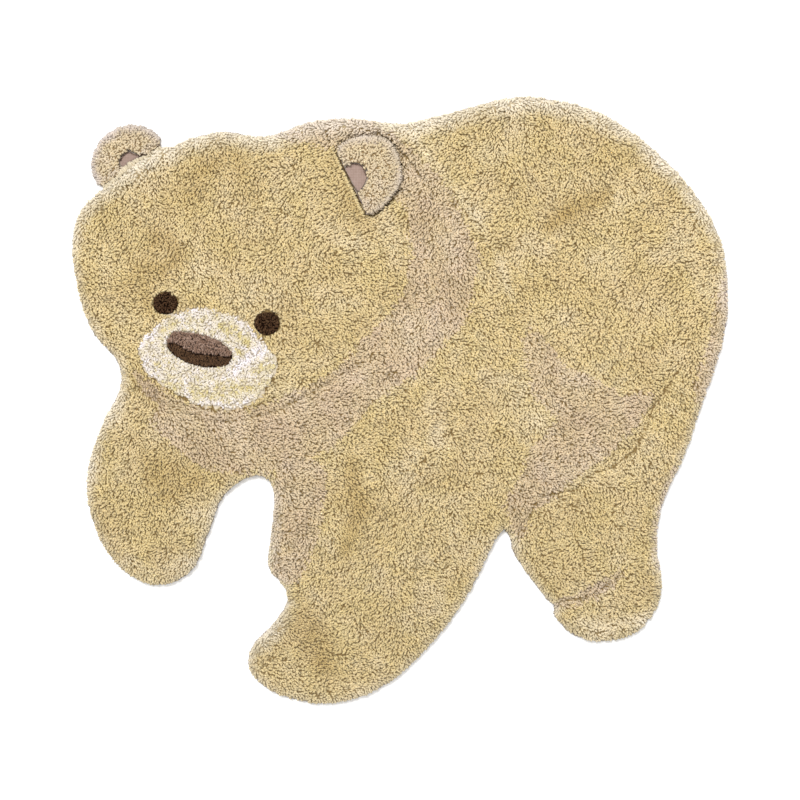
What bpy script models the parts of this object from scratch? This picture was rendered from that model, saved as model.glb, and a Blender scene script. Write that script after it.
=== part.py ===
"""Bear-shaped tufted rug for a child's room, lying flat on the floor.

A cotton cloth is cut to the outline of a walking bear, tufted all over with cotton yarn, sheared, and
carved along the lines that part head, legs and belly. Its raw edge is turned under. Two tufted ear flaps
are sewn on: one lies on the floor beside the head, the other on the rug behind it. Each ear has a patch of
bare cotton set into its pile at the foot.

+X runs towards the rump, +Y towards the back and +Z up. The origin is on the floor under the middle.
Tables are in millimetres. The tufted yarn colours are materials on the faces of one solid.
"""

import math

import bmesh
import bpy
from mathutils import Matrix, Vector, noise
from mathutils.geometry import delaunay_2d_cdt, interpolate_bezier, intersect_point_line

MM = 0.001
GAP = 0.3

# Heights above the floor
PILE_TOP = 20.0
BED_UNDER_EAR = 12.0
EAR_THICKNESS = 14.0
PATCH_THICKNESS = 1.5
PATCH_FLOOR = 4.0

# The side, from the floor to the widest line: how far in from the rim, and how high
SIDE = ((3.0, 0.0), (1.5, 2.5), (0.0, 8.0))
SHOULDER_REACH = 15.0
SHOULDER_RINGS = (4.5, 11.0)

# Unevenness of hand-sheared pile: the width and height of its swells, and the locks along the rim
SWELLS = ((70.0, 1.6), (30.0, 0.9))
RIM_SWELLS = ((40.0, 1.0),)
LOCK_STANDS_OUT = 1.6

# Spacing of the mesh's points
RIM_STEP = 12.0
GRID_STEP = 21.0
EAR_GRID_STEP = 13.0
FACE_STEP = 14.0
PATCH_STEP = 6.0
CLEAR_OF_BORDER = 0.45

# Outline, one row for a turn of the rim, anticlockwise from the left ear's foot.
# Columns: place, x, y, and whether the rim turns sharply there.
SMOOTH, SHARP = False, True
OUTLINE = (
    ("ear foot, outer", -594, 426, SHARP),
    ("temple", -638, 384, SMOOTH),
    ("cheek, widest", -657, 320, SMOOTH),
    ("cheek", -644, 216, SMOOTH),
    ("jowl", -613, 134, SMOOTH),
    ("jaw", -567, 79, SMOOTH),
    ("throat", -560, 34, SMOOTH),
    ("shoulder", -593, -40, SMOOTH),
    ("left foreleg", -621, -114, SMOOTH),
    ("left foreleg, widest", -627, -186, SMOOTH),
    ("left forepaw, outer", -602, -276, SMOOTH),
    ("left forepaw, sole", -548, -344, SMOOTH),
    ("left forepaw, tip", -484, -369, SMOOTH),
    ("left forepaw, inner", -420, -341, SMOOTH),
    ("left foreleg, inner", -384, -262, SMOOTH),
    ("elbow", -358, -196, SMOOTH),
    ("chest arch", -314, -157, SMOOTH),
    ("chest arch, top", -276, -151, SMOOTH),
    ("chest arch, end", -256, -172, SMOOTH),
    ("hidden leg", -253, -224, SMOOTH),
    ("hidden leg, wrist", -263, -300, SMOOTH),
    ("hidden paw, heel", -263, -338, SMOOTH),
    ("hidden paw", -236, -368, SMOOTH),
    ("right foreleg, wrist", -226, -400, SMOOTH),
    ("right forepaw, back", -254, -447, SMOOTH),
    ("right forepaw, heel", -297, -494, SMOOTH),
    ("right forepaw, tip", -302, -538, SMOOTH),
    ("right forepaw, toes", -264, -578, SMOOTH),
    ("right forepaw, sole", -200, -601, SMOOTH),
    ("right forepaw, lowest", -130, -605, SMOOTH),
    ("right forepaw, inner", -43, -577, SMOOTH),
    ("right foreleg", 44, -505, SMOOTH),
    ("right foreleg, inner", 129, -398, SMOOTH),
    ("belly fork, left", 196, -268, SMOOTH),
    ("belly fork", 208, -256, SMOOTH),
    ("belly fork, right", 219, -270, SMOOTH),
    ("hind leg", 229, -307, SMOOTH),
    ("hind leg, shin", 294, -397, SMOOTH),
    ("hind paw, nick", 311, -411, SHARP),
    ("hind paw, toe", 307, -428, SHARP),
    ("hind paw, toes", 343, -466, SMOOTH),
    ("hind paw, lowest", 400, -482, SMOOTH),
    ("hind paw, sole", 472, -463, SMOOTH),
    ("hind paw, heel", 514, -412, SMOOTH),
    ("hind paw, ankle", 523, -356, SMOOTH),
    ("hock", 513, -290, SMOOTH),
    ("thigh, low", 524, -210, SMOOTH),
    ("thigh", 567, -112, SMOOTH),
    ("thigh, high", 608, 4, SMOOTH),
    ("rump, low", 647, 124, SMOOTH),
    ("rump, widest", 656, 200, SMOOTH),
    ("rump", 642, 320, SMOOTH),
    ("rump, high", 591, 414, SMOOTH),
    ("loin", 496, 514, SMOOTH),
    ("back", 397, 578, SMOOTH),
    ("back, highest", 296, 605, SMOOTH),
    ("back, front", 220, 607, SMOOTH),
    ("withers", 100, 577, SMOOTH),
    ("dip behind the neck", 10, 556, SMOOTH),
    ("nape, rear", -50, 560, SMOOTH),
    ("nape", -116, 566, SMOOTH),
    ("nape, front", -190, 556, SMOOTH),
    ("dip before the crown", -270, 530, SMOOTH),
    ("crown", -350, 539, SMOOTH),
    ("brow", -410, 529, SMOOTH),
    ("brow, low", -456, 510, SMOOTH),
    ("ear foot, inner", -480, 509, SHARP),
)

# Carved lines, where the shears part two fields of pile.
# Columns: place, depth, half width, and the points that the line passes.
CARVED = (
    ("chin", 4.5, 9.0, ((-556, 56), (-520, 24), (-470, -4), (-410, -28), (-350, -42),
                        (-290, -32), (-230, -4), (-170, 24), (-110, 60), (-64, 96))),
    ("hind leg", 6.5, 9.0, ((544, 48), (512, 8), (500, -28), (476, -68), (432, -112),
                            (380, -156), (332, -188), (284, -204), (258, -236), (242, -262))),
    ("behind the ear", 5.0, 7.0, ((-42, 538), (-18, 516), (2, 496), (22, 472), (40, 448))),
    ("hind paw", 5.5, 8.0, ((314, -412), (344, -404), (380, -386), (408, -366), (436, -342))),
    ("ear foot", 4.0, 7.0, ((-592, 418), (-556, 424), (-530, 440), (-504, 460), (-484, 472))),
    ("right foreleg", 3.0, 10.0, ((-32, 64), (-56, 4), (-86, -64), (-112, -124), (-140, -184),
                                  (-160, -244), (-172, -296), (-200, -340), (-220, -372))),
    ("forearm", 3.5, 8.0, ((48, -172), (-8, -224), (-64, -284), (-120, -312), (-156, -324))),
)

# Shaded fields, tufted in a duller yarn: strokes of changing width.
# Columns: place, and the stroke's rows of x, y, half width.
SHADE_STROKES = (
    ("nape", ((-230, 545, 22), (-120, 540, 38), (-30, 500, 40), (60, 400, 48))),
    ("neck", ((60, 400, 48), (90, 290, 68), (70, 190, 66), (0, 110, 62), (-90, 30, 50))),
    ("chest", ((-90, 30, 50), (-170, -40, 62), (-270, -80, 66), (-370, -90, 50), (-460, -40, 34))),
    ("hidden leg", ((-200, -160, 52), (-208, -260, 48), (-222, -330, 34))),
    ("belly", ((265, 120, 22), (300, 40, 46), (380, -20, 60), (440, -30, 44), (490, 0, 16))),
    ("groin", ((380, -60, 60), (300, -130, 50), (232, -220, 24))),
    ("tail side", ((652, 220, 8), (646, 130, 18), (618, 40, 18), (606, 20, 8))),
    ("hock", ((548, -140, 6), (522, -220, 10), (512, -290, 10), (520, -340, 6))),
    ("toe crease", ((318, -412, 7), (372, -392, 9), (424, -354, 7))),
)

# The face's fields. An ellipse's columns: centre x, y, long half, short half, turn in degrees.
MUZZLE = ((-440, 182), (-396, 189), (-350, 182), (-306, 160), (-272, 128), (-248, 90), (-248, 48),
          (-272, 8), (-314, -14), (-370, -20), (-430, -10), (-480, 18), (-512, 60), (-526, 100),
          (-512, 134), (-480, 164))
NOSE = (-401, 100, 67, 31, -14)
EYES = ((-469, 194, 25, 22, 0), (-267, 154, 26, 23, 0))

# Ears, each in its own frame: u along its sewn foot, v away from the foot.
# A place's columns: the foot's middle x, y, and the turn of u from +X in degrees.
# An ear's columns: place, u, v, and whether the rim turns sharply there.
LEFT_EAR_PLACE = (-537.0, 467.5, 36.06)
LEFT_EAR_CENTRE = (1.7, 14.2)
LEFT_EAR_HALVES = (76.0, 68.0)
LEFT_EAR_FOOT = 70.5
RIGHT_EAR_PLACE = (-98.0, 436.0, -64.9)
RIGHT_EAR = (
    ("foot, upper", -71, 0, SHARP),
    ("foot, lower", 71, 0, SHARP),
    ("lower side", 74, 21, SMOOTH),
    ("lower turn", 62, 55, SMOOTH),
    ("tip, lower", 37, 93, SMOOTH),
    ("tip", -6, 106, SMOOTH),
    ("tip, upper", -40, 103, SMOOTH),
    ("upper turn", -65, 78, SMOOTH),
    ("upper side", -78, 38, SMOOTH),
    ("upper foot", -77, 14, SMOOTH),
)

# The bare patches, in their ears' frames: u, v, from one end of the foot round to the other
LEFT_PATCH = ((-18, 1.5), (-17, 16), (-8, 28), (12, 31), (21, 20), (29, 9), (30, 1.5))
RIGHT_PATCH = ((-28, 1.5), (-33, 8), (-32, 18), (-25, 29), (-14, 36), (0, 35), (10, 26), (17, 17),
               (24, 6), (25, 1.5))
PATCH_CLEARANCE = 2.5
BED_MARGIN = 3.0
BED_SLOPE = 8.0

SHARP_EDGE = math.radians(50)
ROUGHNESS_OF_COTTON = 0.95
COLOURS = {
    "honey_pile": (0.62, 0.46, 0.22),
    "shade_pile": (0.50, 0.36, 0.22),
    "cream_pile": (0.80, 0.73, 0.60),
    "nose_pile": (0.13, 0.08, 0.06),
    "ear_pile": (0.60, 0.49, 0.33),
    "bare_cotton": (0.40, 0.27, 0.25),
}
RUG_YARNS = ("honey_pile", "shade_pile", "cream_pile", "nose_pile")
EAR_YARNS = ("ear_pile",)
PATCH_CLOTHS = ("bare_cotton",)


def yarn(name):
    """The matt cotton of one yarn or cloth colour, made once."""
    found = bpy.data.materials.get(name)
    if found:
        return found
    material = bpy.data.materials.new(name)
    material.use_nodes = True
    shader = material.node_tree.nodes["Principled BSDF"]
    shader.inputs["Base Color"].default_value = (*COLOURS[name], 1.0)
    shader.inputs["Roughness"].default_value = ROUGHNESS_OF_COTTON
    shader.inputs["Metallic"].default_value = 0.0
    return material


def closed_curve(knots, step):
    """Points about a step apart on a smooth closed curve through knots of (x, y, sharp)."""
    places = [Vector((x, y)) for x, y, _ in knots]
    found = []
    for i, here in enumerate(places):
        j = (i + 1) % len(places)
        there = places[j]
        chord = there - here
        leave = chord if knots[i][2] else there - places[i - 1]
        arrive = chord if knots[j][2] else places[(j + 1) % len(places)] - here
        first = here + leave.normalized() * chord.length / 3
        second = there - arrive.normalized() * chord.length / 3
        parts = max(1, round(chord.length / step))
        found += interpolate_bezier(here, first, second, there, parts + 1)[:-1]
    return found


def ellipse(x, y, long_half, short_half, turn, step):
    """Points about a step apart round an ellipse, anticlockwise."""
    count = max(12, round(math.tau * long_half / step))
    spin = Matrix.Rotation(math.radians(turn), 2)
    angles = [math.tau * k / count for k in range(count)]
    points = [Vector((long_half * math.cos(angle), short_half * math.sin(angle))) for angle in angles]
    return [Vector((x, y)) + spin @ p for p in points]


def outward(ring, i):
    """The direction out of an anticlockwise ring at one of its points."""
    along = ring[(i + 1) % len(ring)] - ring[i - 1]
    return Vector((along.y, -along.x)).normalized()


def grown(ring, amount):
    """The ring moved out by an amount, or in if it is negative."""
    return [p + outward(ring, i) * amount for i, p in enumerate(ring)]


def swell(p, sizes):
    """The slow unevenness at a point: a sum of smooth bumps, each with its width and height."""
    return sum(height * noise.noise(Vector((p.x / width, p.y / width, width))) for width, height in sizes)


def with_locks(ring, first, last):
    """The ring with its locks of yarn, which stand out at every second point from first to last."""
    locked = list(ring)
    for i in range(first, last):
        out = LOCK_STANDS_OUT * (i % 2) + swell(ring[i], RIM_SWELLS)
        locked[i] = ring[i] + outward(ring, i) * out
    return locked


def nearest_run(p, line, closed=False):
    """How far a point is from a line of points, which run of it is nearest, and the share along that run."""
    best = (math.inf, 0, 0.0)
    for i in range(len(line) if closed else len(line) - 1):
        start, end = line[i], line[(i + 1) % len(line)]
        _, share = intersect_point_line(p, start, end)
        share = min(1.0, max(0.0, share))
        best = min(best, ((p - start.lerp(end, share)).length, i, share))
    return best


def rim_distance(p, rim):
    """How far a point is from a closed ring."""
    return nearest_run(p, rim, closed=True)[0]


def inside(p, ring):
    """Whether a point lies in a ring, by counting the edges to its right."""
    found = False
    for i, a in enumerate(ring):
        b = ring[i - 1]
        if (a.y > p.y) != (b.y > p.y) and p.x < (b.x - a.x) * (p.y - a.y) / (b.y - a.y) + a.x:
            found = not found
    return found


def shoulder(away):
    """The rounded fall of the pile towards its rim: 0 at the rim, 1 from the shoulder in."""
    left = 1.0 - min(away, SHOULDER_REACH) / SHOULDER_REACH
    return math.sqrt(1.0 - left * left)


def carved_depth(p):
    """How far the shears cut below the pile's top at a point."""
    cuts = []
    for _, depth, half_width, line in CARVED:
        away = nearest_run(p, [Vector(q) for q in line])[0]
        cuts.append(depth * math.exp(-((away / half_width) ** 2)))
    return max(cuts)


def in_shade(p):
    """Whether a point lies in a shaded field."""
    for _, rows in SHADE_STROKES:
        away, i, share = nearest_run(p, [Vector(row[:2]) for row in rows])
        if away < rows[i][2] * (1 - share) + rows[i + 1][2] * share:
            return True
    return False


def staggered_grid(ring, step):
    """Points a step apart, in staggered rows, over a ring's box."""
    left, right = min(p.x for p in ring), max(p.x for p in ring)
    low, high = min(p.y for p in ring), max(p.y for p in ring)
    rise = step * math.sqrt(3) / 2
    found = []
    for row in range(int((high - low) / rise) + 1):
        start = left + (step / 2 if row % 2 else 0.0)
        found += [Vector((start + k * step, low + row * rise)) for k in range(int((right - left) / step) + 1)]
    return found


def top_points_of(rim, borders, step):
    """The points of a slab's top: its rim, its borders, two rings on the shoulder and a grid."""
    border_points = [p for border in borders for p in border]
    found = rim + border_points
    for inset in SHOULDER_RINGS:
        for p in grown(rim, -inset):
            if inside(p, rim) and rim_distance(p, rim) > (1 - CLEAR_OF_BORDER / 2) * inset:
                found.append(p)
    for p in staggered_grid(rim, step):
        on_shoulder = not inside(p, rim) or rim_distance(p, rim) < SHOULDER_RINGS[-1] + step / 2
        if not on_shoulder and all((p - q).length > CLEAR_OF_BORDER * step for q in border_points):
            found.append(p)
    return found


def tufted_slab(name, rim, foot, height_at, step, borders, yarn_at, yarns):
    """A closed slab of pile on cloth: a level underside, a rounded side and a lumpy top.

    borders are rings on the top that no triangle crosses. The foot is the height it stands at.
    """
    edges = []
    start = 0
    for ring in (rim, *borders):
        edges += [(start + i, start + (i + 1) % len(ring)) for i in range(len(ring))]
        start += len(ring)
    points = top_points_of(rim, borders, step)
    places, _, faces, sources, _, _ = delaunay_2d_cdt(points, edges, [list(range(len(rim)))], 1, GAP / 10)

    mesh = bmesh.new()
    rim_height = foot + SIDE[-1][1]
    top = []
    above = [None] * len(rim)
    for p, source in zip(places, sources):
        on_rim = [i for i in source if i < len(rim)]
        top.append(mesh.verts.new((p.x, p.y, rim_height if on_rim else height_at(p))))
        for i in on_rim:
            above[i] = top[-1]
    for face in faces:
        middle = sum((places[i] for i in face), Vector((0, 0))) / len(face)
        mesh.faces.new([top[i] for i in face]).material_index = yarns.index(yarn_at(middle))
    for inset, height in reversed(SIDE[:-1]):
        below = [mesh.verts.new((p.x, p.y, foot + height)) for p in grown(rim, -inset)]
        for i in range(len(rim)):
            j = (i + 1) % len(rim)
            side = mesh.faces.new((below[i], below[j], above[j], above[i]))
            side.material_index = yarns.index(yarn_at(rim[i]))
        above = below
    mesh.faces.new(list(reversed(above)))
    bmesh.ops.triangulate(mesh, faces=[face for face in mesh.faces if len(face.verts) > 3])
    return finished(name, mesh, yarns)


def finished(name, mesh, yarns):
    """The mesh, built in millimetres, as an object of the scene."""
    bmesh.ops.recalc_face_normals(mesh, faces=mesh.faces)
    bmesh.ops.scale(mesh, vec=(MM, MM, MM), verts=mesh.verts)
    data = bpy.data.meshes.new(name)
    mesh.to_mesh(data)
    mesh.free()
    for colour in yarns:
        data.materials.append(yarn(colour))
    data.shade_smooth()
    data.set_sharp_from_angle(angle=SHARP_EDGE)
    made = bpy.data.objects.new(name, data)
    bpy.context.scene.collection.objects.link(made)
    return made


def prism(name, ring, low, high):
    """A flat sheet or block of one outline between two heights."""
    mesh = bmesh.new()
    base = mesh.faces.new([mesh.verts.new((p.x, p.y, low)) for p in ring])
    raised = bmesh.ops.extrude_face_region(mesh, geom=[base])["geom"]
    lifted = [v for v in raised if isinstance(v, bmesh.types.BMVert)]
    bmesh.ops.translate(mesh, vec=(0, 0, high - low), verts=lifted)
    return finished(name, mesh, PATCH_CLOTHS)


def on_the_rug(place, ring):
    """Points of an ear's own frame as points of the rug."""
    x, y, turn = place
    spin = Matrix.Rotation(math.radians(turn), 2)
    return [Vector((x, y)) + spin @ p for p in ring]


def set_down(made, place, centre):
    """Places an object that was built in an ear's frame."""
    x, y, turn = place
    made.location = ((x - centre.x) * MM, (y - centre.y) * MM, 0.0)
    made.rotation_euler = (0.0, 0.0, math.radians(turn))


def left_ear_rim():
    """The left ear: an ellipse cut off along the foot, which stands a gap clear of the rug."""
    whole = ellipse(*LEFT_EAR_CENTRE, *LEFT_EAR_HALVES, 0, RIM_STEP)
    round_part = [p for p in whole if p.y > GAP + RIM_STEP / 2]
    round_part.sort(key=lambda p: math.atan2(p.y, p.x - LEFT_EAR_CENTRE[0]))
    steps = round(2 * LEFT_EAR_FOOT / RIM_STEP)
    foot = [Vector((LEFT_EAR_FOOT * (2 * k / steps - 1), GAP)) for k in range(steps + 1)]
    return with_locks(foot + round_part, steps + 1, len(foot + round_part))


def right_ear_rim():
    """The right ear, which lies on the rug's pile."""
    ring = closed_curve([row[1:] for row in RIGHT_EAR], RIM_STEP)
    steps = round((RIGHT_EAR[1][1] - RIGHT_EAR[0][1]) / RIM_STEP)
    return with_locks(ring, steps + 1, len(ring))


def patch_rim(patch):
    """A bare patch's outline, anticlockwise, straight along the foot."""
    ends = (0, len(patch) - 1)
    knots = [(u, v, k in ends) for k, (u, v) in enumerate(patch)]
    return closed_curve(knots[::-1], PATCH_STEP)


def ear(side, rim, place, foot, patch, centre):
    """An ear flap with its hollow, and the patch of bare cotton set into it."""
    low = foot + SIDE[-1][1]

    def height_at(p):
        return low + (foot + EAR_THICKNESS - low) * shoulder(rim_distance(p, rim)) + swell(p, SWELLS) / 2

    def yarn_at(p):
        return EAR_YARNS[0]

    flap = tufted_slab(f"ear_{side}", rim, foot, height_at, EAR_GRID_STEP, (), yarn_at, EAR_YARNS)
    set_down(flap, place, centre)
    ring = patch_rim(patch)
    floor = foot + PATCH_FLOOR
    cutter = prism(f"hollow_{side}", grown(ring, PATCH_CLEARANCE), floor, foot + 2 * EAR_THICKNESS)
    set_down(cutter, place, centre)
    cutter.hide_render = True
    cutter.display_type = "WIRE"
    hollow = flap.modifiers.new("hollow for the bare patch", "BOOLEAN")
    hollow.operation = "DIFFERENCE"
    hollow.object = cutter
    sheet = prism(f"inner_ear_{side}", ring, floor + GAP, floor + GAP + PATCH_THICKNESS)
    set_down(sheet, place, centre)


def rug(rim, bed, centre):
    """The tufted bear itself, less its ears, as one solid."""
    muzzle = closed_curve([(x, y, SMOOTH) for x, y in MUZZLE], GRID_STEP)
    nose = ellipse(*NOSE, FACE_STEP)
    eyes = [ellipse(*eye, FACE_STEP) for eye in EYES]

    def height_at(p):
        if inside(p, bed) or rim_distance(p, bed) < GAP:
            return BED_UNDER_EAR
        low = SIDE[-1][1]
        return low + (PILE_TOP - low) * shoulder(rim_distance(p, rim)) + swell(p, SWELLS) - carved_depth(p)

    def yarn_at(p):
        if any(inside(p, dark) for dark in (nose, *eyes)):
            return "nose_pile"
        if inside(p, muzzle):
            return "cream_pile"
        return "shade_pile" if in_shade(p) else "honey_pile"

    borders = (bed, grown(bed, BED_SLOPE), muzzle, nose, *eyes)
    made = tufted_slab("rug", rim, 0.0, height_at, GRID_STEP, borders, yarn_at, RUG_YARNS)
    made.location = (-centre.x * MM, -centre.y * MM, 0.0)


def rug_rim():
    """The rug's outline, with locks all round but where the left ear is sewn on."""
    ring = closed_curve([row[1:] for row in OUTLINE], RIM_STEP)
    inner_foot = Vector(OUTLINE[-1][1:3])
    seam_start = min(range(len(ring)), key=lambda i: (ring[i] - inner_foot).length)
    return with_locks(ring, 1, seam_start)


def main():
    for leftover in list(bpy.data.objects):
        bpy.data.objects.remove(leftover)
    rim = rug_rim()
    across, along = [p.x for p in rim], [p.y for p in rim]
    centre = Vector((min(across) + max(across), min(along) + max(along))) / 2
    right_rim = right_ear_rim()
    bed = on_the_rug(RIGHT_EAR_PLACE, grown(right_rim, BED_MARGIN))
    rug(rim, bed, centre)
    ear("left", left_ear_rim(), LEFT_EAR_PLACE, 0.0, LEFT_PATCH, centre)
    ear("right", right_rim, RIGHT_EAR_PLACE, BED_UNDER_EAR + GAP, RIGHT_PATCH, centre)


main()
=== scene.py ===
import math

import bmesh
import bpy
import numpy as np
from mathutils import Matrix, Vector, noise
from mathutils.bvhtree import BVHTree


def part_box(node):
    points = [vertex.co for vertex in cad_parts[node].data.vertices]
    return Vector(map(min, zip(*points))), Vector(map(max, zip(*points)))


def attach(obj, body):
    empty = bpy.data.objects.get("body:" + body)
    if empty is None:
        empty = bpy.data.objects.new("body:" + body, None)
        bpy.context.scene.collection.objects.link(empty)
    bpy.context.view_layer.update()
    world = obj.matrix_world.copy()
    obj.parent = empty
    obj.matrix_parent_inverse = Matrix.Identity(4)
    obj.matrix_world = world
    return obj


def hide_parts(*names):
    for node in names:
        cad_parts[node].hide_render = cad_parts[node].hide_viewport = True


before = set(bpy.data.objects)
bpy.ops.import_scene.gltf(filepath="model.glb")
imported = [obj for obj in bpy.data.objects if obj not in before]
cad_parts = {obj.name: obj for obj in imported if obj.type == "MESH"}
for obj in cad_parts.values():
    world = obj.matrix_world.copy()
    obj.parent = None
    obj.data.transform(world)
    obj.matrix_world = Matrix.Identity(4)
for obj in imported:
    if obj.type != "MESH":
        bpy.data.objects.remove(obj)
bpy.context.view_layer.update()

MM = 0.001

# The floor, the light and the view: a pale matt floor, a large soft light from the upper left and a pale
# room round them. The camera looks straight down through a long lens, and a pixel is 2 mm of rug.
FIELD_OF_VIEW = 1.6
LENS = 100.0
SENSOR = 36.0
PILE_LEVEL = 0.018
CAMERA_HEIGHT = PILE_LEVEL + FIELD_OF_VIEW * LENS / SENSOR
VIEW_DEPTH = 50.0
FLOOR_SIDE = 60.0
FLOOR_CLOUD_SIZE = 2 / 3
ROOM_LIGHT = 0.96
SOFT_LIGHT_FROM = (-0.23, 0.48, 1.0)
SOFT_LIGHT_SPREAD = math.radians(24)
SOFT_LIGHT_STRENGTH = 2.85


def linear(code):
    """An sRGB colour such as "#dfc78f" as linear red, green, blue and alpha."""
    shares = [int(code[i:i + 2], 16) / 255 for i in (1, 3, 5)]
    return (*(c / 12.92 if c <= 0.04045 else ((c + 0.055) / 1.055) ** 2.4 for c in shares), 1.0)


def set_sockets(node, sockets):
    """Sets each named socket of a node to a value, or links it."""
    for name, value in sockets.items():
        if isinstance(value, bpy.types.NodeSocket):
            node.id_data.links.new(value, node.inputs[name])
        else:
            node.inputs[name].default_value = value


def add_node(material, kind, sockets=(), stops=(), **settings):
    """Adds a node to a material: its settings, its ramp's stops and its sockets. Gives its outputs."""
    made = material.node_tree.nodes.new("ShaderNode" + kind)
    for name, value in settings.items():
        setattr(made, name, value)
    for k, (place, colour) in enumerate(stops):
        stop = made.color_ramp.elements[k] if k < 2 else made.color_ramp.elements.new(place)
        stop.position = place
        stop.color = colour
    set_sockets(made, dict(sockets))
    return made.outputs


def new_finish(name, roughness, specular, sheen=0.0, sheen_roughness=0.5):
    """A new material and its shader, with the values that are the same all over set on the shader itself."""
    material = bpy.data.materials.new(name)
    material.use_nodes = True
    shader = material.node_tree.nodes["Principled BSDF"]
    set_sockets(shader, {
        "Metallic": 0.0, "Roughness": roughness, "Specular IOR Level": specular, "Sheen Weight": sheen,
        "Sheen Roughness": sheen_roughness})
    return material, shader


bpy.ops.object.select_all(action="DESELECT")
bpy.ops.object.camera_add(location=(0.0, 0.0, CAMERA_HEIGHT), rotation=(0.0, 0.0, 0.0))
camera = bpy.context.object
camera.name = "camera"
camera.data.lens = LENS
camera.data.sensor_width = SENSOR
camera.data.clip_end = VIEW_DEPTH
bpy.context.scene.camera = camera
bpy.context.scene.view_settings.view_transform = "Standard"

bpy.ops.object.light_add(type="SUN", location=(0.0, 0.0, CAMERA_HEIGHT))
soft_light = bpy.context.object
soft_light.name = "soft_light"
soft_light.data.angle = SOFT_LIGHT_SPREAD
soft_light.data.energy = SOFT_LIGHT_STRENGTH
soft_light.rotation_euler = (-Vector(SOFT_LIGHT_FROM)).to_track_quat("-Z", "Y").to_euler()

room = bpy.data.worlds.new("pale_room")
room.use_nodes = True
set_sockets(room.node_tree.nodes["Background"], {"Color": linear("#ffffff"), "Strength": ROOM_LIGHT})
bpy.context.scene.world = room

bpy.ops.mesh.primitive_plane_add(size=FLOOR_SIDE)
floor = bpy.context.object
floor.name = "floor"
# Matt white paint on a board: even, with a faint broad cloudiness
floor_paint, floor_shader = new_finish("matt_white_paint", roughness=0.9, specular=0.1)
floor_cloud = add_node(floor_paint, "TexNoise", {"Scale": 1 / FLOOR_CLOUD_SIZE, "Detail": 2.0})
floor_tone = add_node(
    floor_paint, "ValToRGB", {"Fac": floor_cloud["Fac"]},
    stops=((0.3, linear("#f8f8f8")), (0.7, linear("#fbfbfb"))))
set_sockets(floor_shader, {"Base Color": floor_tone["Color"]})
floor.data.materials.append(floor_paint)

# The base cloth: heavy plain-woven cotton, cut to the bear's outline with a turning all round that is
# folded under and caught down. It lies flat on the floor, and only its folded edge shows past the pile.
WELD = 1e-6
LEVEL_WITHIN = 1e-5
CLOTH_THICKNESS = 0.0008
HEM_WIDTH = 0.012
HEM_TOP = 0.0021
HEM_FOLD = 0.0013
HEM_UNDER = 0.0005
CLOTH_ON_FLOOR = 0.0005
HEM_SLOPE = 0.005
FOOT_INSET = 0.003
RING_STEP = 0.006
EDGE_INSET = 0.0008
FOLD_ROUND = 0.0006
TURNING_ENDS_IN = 0.011
SMOOTH_BELOW = math.radians(50)
THREAD = 0.0012
THREAD_HEIGHT = 0.0003
SLUB_LENGTH = 0.009


def foot_ring(node):
    """The level underside's border of a CAD node, as points anticlockwise."""
    mesh = bmesh.new()
    mesh.from_mesh(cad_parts[node].data)
    bmesh.ops.remove_doubles(mesh, verts=mesh.verts, dist=WELD)
    lowest = min(v.co.z for v in mesh.verts)
    under = {f for f in mesh.faces if all(v.co.z < lowest + LEVEL_WITHIN for v in f.verts)}
    follows = {}
    for edge in mesh.edges:
        inner = [f for f in edge.link_faces if f in under]
        if len(inner) == 1:
            start, end = edge.verts
            loop = next(lp for lp in inner[0].loops if lp.edge == edge)
            if loop.vert != start:
                start, end = end, start
            follows[end] = start
    ring = [next(iter(follows))]
    while follows[ring[-1]] != ring[0]:
        ring.append(follows[ring[-1]])
    points = np.array([v.co[:2] for v in ring])
    mesh.free()
    return points


def closed(ring):
    """A ring with its first point again at the end."""
    return np.vstack([ring, ring[:1]])


def way_along(line):
    """How far along a line each of its points is."""
    return np.concatenate([[0.0], np.cumsum(np.hypot(*np.diff(line, axis=0).T))])


def at_ways(line, ways):
    """The points of a line that are so far along it."""
    return np.column_stack([np.interp(ways, way_along(line), line[:, k]) for k in (0, 1)])


def evened(ring, step):
    """The closed ring with its points an even step apart."""
    length = way_along(closed(ring))[-1]
    return at_ways(closed(ring), np.linspace(0.0, length, max(8, round(length / step)), endpoint=False))


def outwards(ring):
    """The unit directions out of an anticlockwise ring."""
    along = np.roll(ring, -1, axis=0) - np.roll(ring, 1, axis=0)
    out = np.column_stack([along[:, 1], -along[:, 0]])
    return out / np.linalg.norm(out, axis=1)[:, None]


def grown(ring, amount):
    """The ring moved out by an amount, or in if it is negative."""
    return ring + outwards(ring) * amount


def select_only(thing):
    """Deselects all, then selects one object and makes it active."""
    bpy.ops.object.select_all(action="DESELECT")
    thing.select_set(True)
    bpy.context.view_layer.objects.active = thing


def apply_modifier(thing, kind, **settings):
    """Adds a modifier to an object and applies it."""
    select_only(thing)
    bpy.ops.object.modifier_add(type=kind)
    modifier = thing.modifiers[-1]
    for name, value in settings.items():
        setattr(modifier, name, value)
    bpy.ops.object.modifier_apply(modifier=modifier.name)


def at_height(ring, height):
    """A ring as points at a height."""
    return np.column_stack([ring, np.full(len(ring), height)])


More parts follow.
